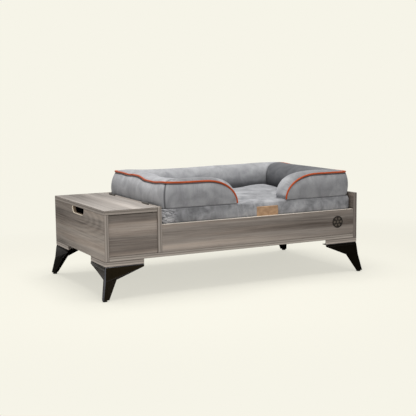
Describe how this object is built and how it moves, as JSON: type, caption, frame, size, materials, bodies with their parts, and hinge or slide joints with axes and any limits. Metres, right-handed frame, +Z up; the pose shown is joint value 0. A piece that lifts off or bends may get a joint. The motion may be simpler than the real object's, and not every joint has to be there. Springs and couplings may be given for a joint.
{
  "type": "dog bed with frame",
  "caption": "Pet bed: laminate board frame on splayed folded steel legs, with a hinged-lid storage box at one end and a bolstered velvet mattress that lifts out of its bay.",
  "frame": {"origin": "middle of the footprint, on the floor", "axes": "+X along the length, from the storage box to the far end; the front rail faces -Y; +Z up"},
  "size_m": [1.2416, 0.6616, 0.4581],
  "materials": {
    "oak_laminate": "matt grey-brown oak laminate with a raised grain",
    "leg_steel": "satin black powder coat",
    "glide_plastic": "matt black",
    "fittings": "dull zinc",
    "dowel_beech": "plain beech",
    "velvet": "short grey velvet pile"
  },
  "bodies": {
    "frame": {"base_board": "oak_laminate", "left_end_panel": "oak_laminate", "right_end_panel": "oak_laminate", "divider_panel": "oak_laminate", "storage_front_panel": "oak_laminate", "storage_back_panel": "oak_laminate", "back_panel": "oak_laminate", "front_rail": "oak_laminate", "rail_dowel_left_lower": "dowel_beech", "rail_dowel_left_upper": "dowel_beech", "rail_dowel_right_lower": "dowel_beech", "rail_dowel_right_upper": "dowel_beech", "leg_block_front_left": "oak_laminate", "leg_front_left": "leg_steel", "glide_front_left": "glide_plastic", "leg_screw_front_left_front": "fittings", "leg_screw_front_left_corner": "fittings", "leg_screw_front_left_side": "fittings", "leg_block_front_right": "oak_laminate", "leg_front_right": "leg_steel", "glide_front_right": "glide_plastic", "leg_screw_front_right_front": "fittings", "leg_screw_front_right_corner": "fittings", "leg_screw_front_right_side": "fittings", "leg_block_back_right": "oak_laminate", "leg_back_right": "leg_steel", "glide_back_right": "glide_plastic", "leg_screw_back_right_front": "fittings", "leg_screw_back_right_corner": "fittings", "leg_screw_back_right_side": "fittings", "leg_block_back_left": "oak_laminate", "leg_back_left": "leg_steel", "glide_back_left": "glide_plastic", "leg_screw_back_left_front": "fittings", "leg_screw_back_left_corner": "fittings", "leg_screw_back_left_side": "fittings", "hinge_front_divider_leaf": "fittings", "hinge_front_pin": "fittings", "hinge_screw_front_divider_1": "fittings", "hinge_screw_front_divider_2": "fittings", "hinge_back_divider_leaf": "fittings", "hinge_back_pin": "fittings", "hinge_screw_back_divider_1": "fittings", "hinge_screw_back_divider_2": "fittings"},
    "lid": {"storage_lid": "oak_laminate", "hinge_front_lid_leaf": "fittings", "hinge_screw_front_lid_1": "fittings", "hinge_screw_front_lid_2": "fittings", "hinge_back_lid_leaf": "fittings", "hinge_screw_back_lid_1": "fittings", "hinge_screw_back_lid_2": "fittings"},
    "mattress": {"mattress_base": "velvet", "bolster_back": "velvet", "bolster_left": "velvet", "bolster_right": "velvet", "bolster_front_left": "velvet", "bolster_front_right": "velvet"}
  },
  "joints": [
    {"name": "lid_hinge", "type": "hinge", "parent": "frame", "child": "lid", "pos_m": [-0.3736, 0, 0.3599], "axis": [0, 1, 0], "range_deg": [0, 95]},
    {"name": "mattress_lift", "type": "slide", "parent": "frame", "child": "mattress", "axis": [0, 0, 1], "range_m": [0, 0.25]}
  ]
}
